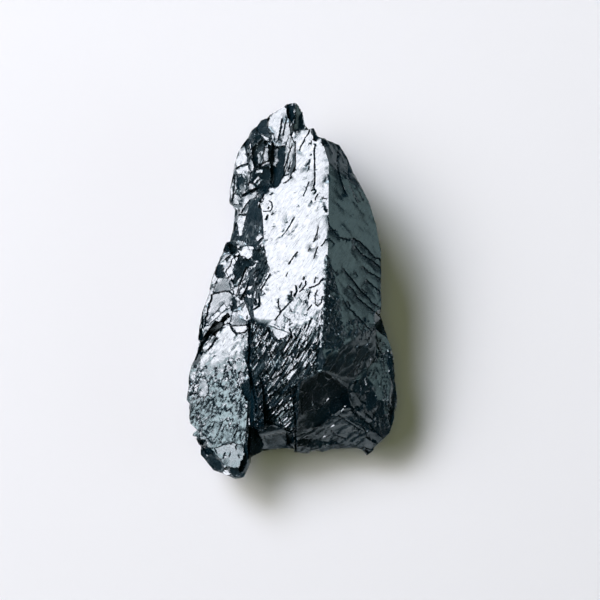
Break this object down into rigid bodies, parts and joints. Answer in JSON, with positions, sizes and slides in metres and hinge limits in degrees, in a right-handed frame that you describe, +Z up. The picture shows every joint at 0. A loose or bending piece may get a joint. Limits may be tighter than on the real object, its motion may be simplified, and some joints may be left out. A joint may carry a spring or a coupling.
{
  "type": "shungite nugget",
  "caption": "Broken nugget of bright vitreous shungite with a large mirror-like facet, a sharp crest, hackly ends and a flat fracture face to lie on.",
  "frame": {"origin": "middle of the footprint, at the height of the resting face", "axes": "+Y along the stone to its narrow tip, +X to the flank beyond the crest, +Z up from the resting face"},
  "size_m": [0.031, 0.0548, 0.0208],
  "materials": {
    "shungite": "fresh fracture faces, black to silver-grey, near-metallic lustre"
  },
  "bodies": {
    "root": {"nugget": "shungite"}
  },
  "joints": []
}
